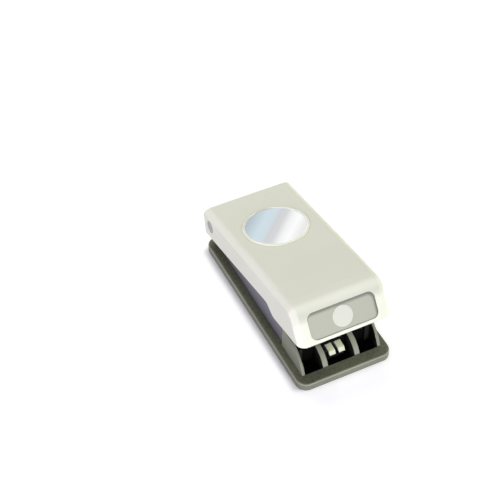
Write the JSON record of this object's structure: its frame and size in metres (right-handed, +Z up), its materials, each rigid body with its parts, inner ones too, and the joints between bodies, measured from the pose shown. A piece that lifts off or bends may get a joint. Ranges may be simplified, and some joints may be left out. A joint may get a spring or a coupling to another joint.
{
  "type": "circle craft punch",
  "caption": "Desk punch with a long hinged lever over a flat base; pressing the lever drives a round cutter through a sheet in the slot, and a slide locks it shut.",
  "frame": {"origin": "on the table, under the middle of the whole punch with its lever at rest", "axes": "+Z up, -Y to the front where the hand presses, +Y to the hinge and the sheet slot's mouth, +X to the right seen from the front"},
  "size_m": [0.0756, 0.166, 0.066],
  "materials": {
    "lever_plastic": "satin moulded",
    "base_plastic": "fine moulded grain",
    "black_plastic": "matt",
    "black_steel": "black oxide",
    "head_metal": "satin die casting",
    "tool_steel": "ground",
    "spring_steel": "drawn wire",
    "pin_steel": "turned",
    "lock_plastic": "moulded",
    "pad_plastic": "moulded",
    "mirror": "polished",
    "label": "satin",
    "label_mark": "satin"
  },
  "bodies": {
    "base": {"base_tray": "base_plastic", "bottom_plate": "black_steel", "plate_screws": "pin_steel", "die_plate": "tool_steel", "slot_spacer": "tool_steel", "cutting_head": "head_metal", "head_screws": "pin_steel", "front_block": "black_plastic", "block_screws": "pin_steel", "hinge_pin": "pin_steel", "pin_cap": "pin_steel", "pin_spacer_left": "pad_plastic", "pin_spacer_right": "pad_plastic", "return_spring_front_left": "spring_steel", "return_spring_front_right": "spring_steel", "return_spring_back_left": "spring_steel", "return_spring_back_right": "spring_steel"},
    "lever": {"lever_cover": "lever_plastic", "lever_beam": "tool_steel", "press_bar": "pin_steel", "beam_screws": "pin_steel", "emblem_mirror": "mirror", "label_plate": "label", "label_mark": "label_mark"},
    "punch": {"cutter": "tool_steel", "plunger": "black_plastic", "cutter_screws": "pin_steel", "press_pad": "pad_plastic"},
    "lock": {"lock_slide": "lock_plastic"}
  },
  "joints": [
    {"name": "lever_hinge", "type": "hinge", "parent": "base", "child": "lever", "pos_m": [0, 0.07009, 0.0295], "axis": [1, 0, 0], "range_deg": [0, 11.4], "stiffness_Nm_per_rad": 7.3, "springref_deg": -10.89},
    {"name": "punch_stroke", "type": "slide", "parent": "base", "child": "punch", "axis": [0, 0, -1], "range_m": [0, 0.00846], "deforming": ["return_spring_front_left", "return_spring_front_right", "return_spring_back_left", "return_spring_back_right"]},
    {"name": "lock_push", "type": "slide", "parent": "base", "child": "lock", "axis": [0, -1, 0], "range_m": [0, 0.0045]}
  ],
  "couplings": [
    {"joint": "punch_stroke", "follows": "lever_hinge", "m_per_rad": 0.042439}
  ]
}
